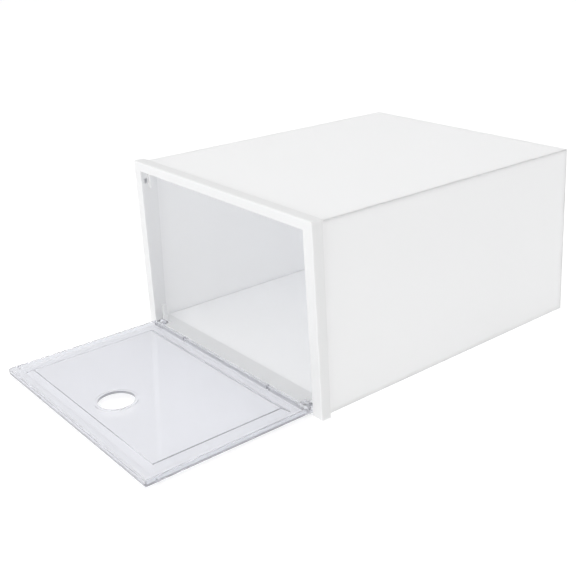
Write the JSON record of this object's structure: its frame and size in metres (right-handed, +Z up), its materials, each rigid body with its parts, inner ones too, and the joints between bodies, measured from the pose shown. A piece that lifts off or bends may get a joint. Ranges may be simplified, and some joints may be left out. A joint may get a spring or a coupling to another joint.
{
  "type": "shoe box",
  "caption": "Drop-front shoe box: frosted snap-together panels behind a white front frame, with a clear raised-panel door that folds down on moulded pins and has a finger hole.",
  "frame": {"origin": "bottom centre of the whole box with its door folded down", "axes": "+Z up, +Y from the door towards the back panel, +X towards the right side panel as seen by someone facing the door"},
  "size_m": [0.2336, 0.4152, 0.1488],
  "materials": {
    "frame": "smooth opaque white",
    "panel": "frosted, milky, slightly see-through",
    "door": "clear, faintly blue, smooth"
  },
  "bodies": {
    "box": {"front_frame": "frame", "top_panel": "panel", "bottom_panel": "panel", "right_side_panel": "panel", "left_side_panel": "panel", "back_panel": "panel"},
    "door": {"drop_door": "door"}
  },
  "joints": [
    {"name": "door_hinge", "type": "hinge", "parent": "box", "child": "door", "pos_m": [0, -0.06954, 0.0026], "axis": [-1, 0, 0], "range_deg": [0, 88.25]}
  ]
}
